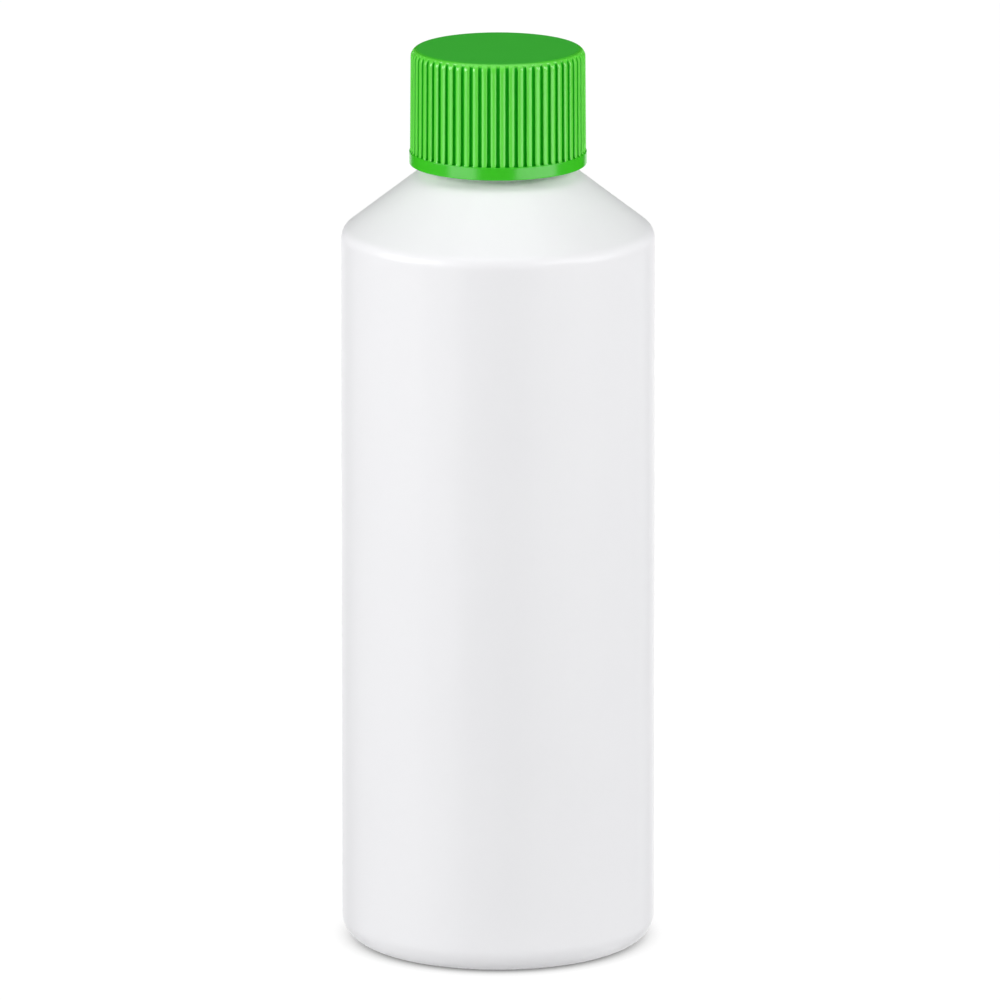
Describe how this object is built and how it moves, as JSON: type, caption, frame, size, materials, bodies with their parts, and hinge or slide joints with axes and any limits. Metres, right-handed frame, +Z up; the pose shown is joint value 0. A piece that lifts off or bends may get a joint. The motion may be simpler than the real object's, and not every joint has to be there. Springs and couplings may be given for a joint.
{
  "type": "pharmacy bottle",
  "caption": "Round white blow-moulded plastic bottle with a conical shoulder, a threaded neck and a green ribbed screw cap that seals it with a foam wad.",
  "frame": {"origin": "middle of the base, on the surface that the bottle stands on", "axes": "+Z up along the bottle's axis, through the mouth; X and Y are level, and the joints' zero is the tightened cap"},
  "size_m": [0.054, 0.054, 0.1565],
  "materials": {
    "bottle_plastic": "white high-density polyethylene, satin",
    "cap_plastic": "green polypropylene, low gloss on the ribs, matt on top",
    "wad_foam": "off-white expanded polyethylene foam, matt"
  },
  "bodies": {
    "bottle": {"bottle": "bottle_plastic"},
    "liner": {"cap_liner": "wad_foam"},
    "cap": {"cap": "cap_plastic"}
  },
  "joints": [
    {"name": "cap_lift", "type": "slide", "parent": "bottle", "child": "liner", "axis": [0, 0, 1], "range_m": [0, 0.01904]},
    {"name": "cap_turn", "type": "hinge", "parent": "liner", "child": "cap", "pos_m": [0, 0, 0.155], "axis": [0, 0, 1], "range_deg": [0, 1620]}
  ],
  "couplings": [
    {"joint": "cap_lift", "follows": "cap_turn", "m_per_rad": 0.00067323}
  ]
}
